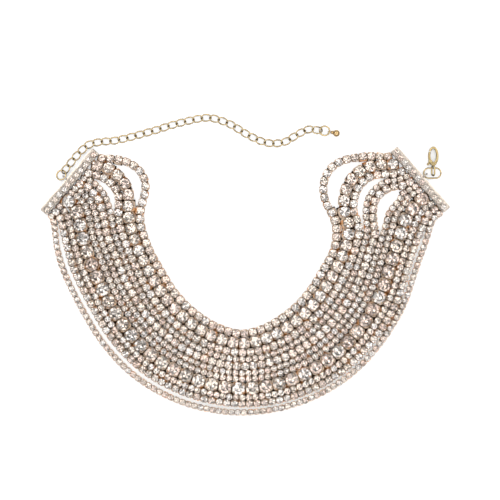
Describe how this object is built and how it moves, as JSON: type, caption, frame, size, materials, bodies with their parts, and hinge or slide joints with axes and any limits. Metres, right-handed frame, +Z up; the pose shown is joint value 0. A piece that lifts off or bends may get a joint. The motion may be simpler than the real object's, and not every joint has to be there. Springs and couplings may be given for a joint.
{
  "type": "rhinestone choker",
  "caption": "Wide choker of side-by-side cup-chain strands between two stone-set end bars, with a lobster clasp on an oval ring and a curb-chain extender.",
  "frame": {"origin": "under the middle of the whole choker as it lies, on the surface that it rests on", "axes": "+Z up through the stones' tables, +Y from the throat towards the open nape, +X from the extender's end bar to the clasp's end bar"},
  "size_m": [0.1884, 0.1386, 0.0046],
  "materials": {
    "crystal_cup_chain": "clear cut stones on foil in pale gold-plated cups",
    "plated_bar": "pale gold plate with a row of cut stones",
    "plated_wire": "bright gold plate on thin wire",
    "plated_clasp": "bright gold plate"
  },
  "bodies": {
    "choker": {"strand_01": "crystal_cup_chain", "strand_02": "crystal_cup_chain", "strand_03": "crystal_cup_chain", "strand_04": "crystal_cup_chain", "strand_05": "crystal_cup_chain", "strand_06": "crystal_cup_chain", "strand_07": "crystal_cup_chain", "strand_08": "crystal_cup_chain", "strand_09": "crystal_cup_chain", "strand_10": "crystal_cup_chain", "strand_11": "crystal_cup_chain", "left_end_bar": "plated_bar", "right_end_bar": "plated_bar", "extender_ring": "plated_wire", "extender_chain": "plated_wire", "extender_end_ring": "plated_wire", "extender_drop": "plated_clasp", "clasp_ring": "plated_wire", "clasp_body": "plated_clasp"},
    "lever": {"clasp_lever": "plated_clasp"}
  },
  "joints": [
    {"name": "lever_hinge", "type": "hinge", "parent": "choker", "child": "lever", "pos_m": [0.08529, 0.04718, 0.0016], "axis": [0, 0, -1], "range_deg": [0, 24], "stiffness_Nm_per_rad": 0.002, "springref_deg": -11.46}
  ]
}
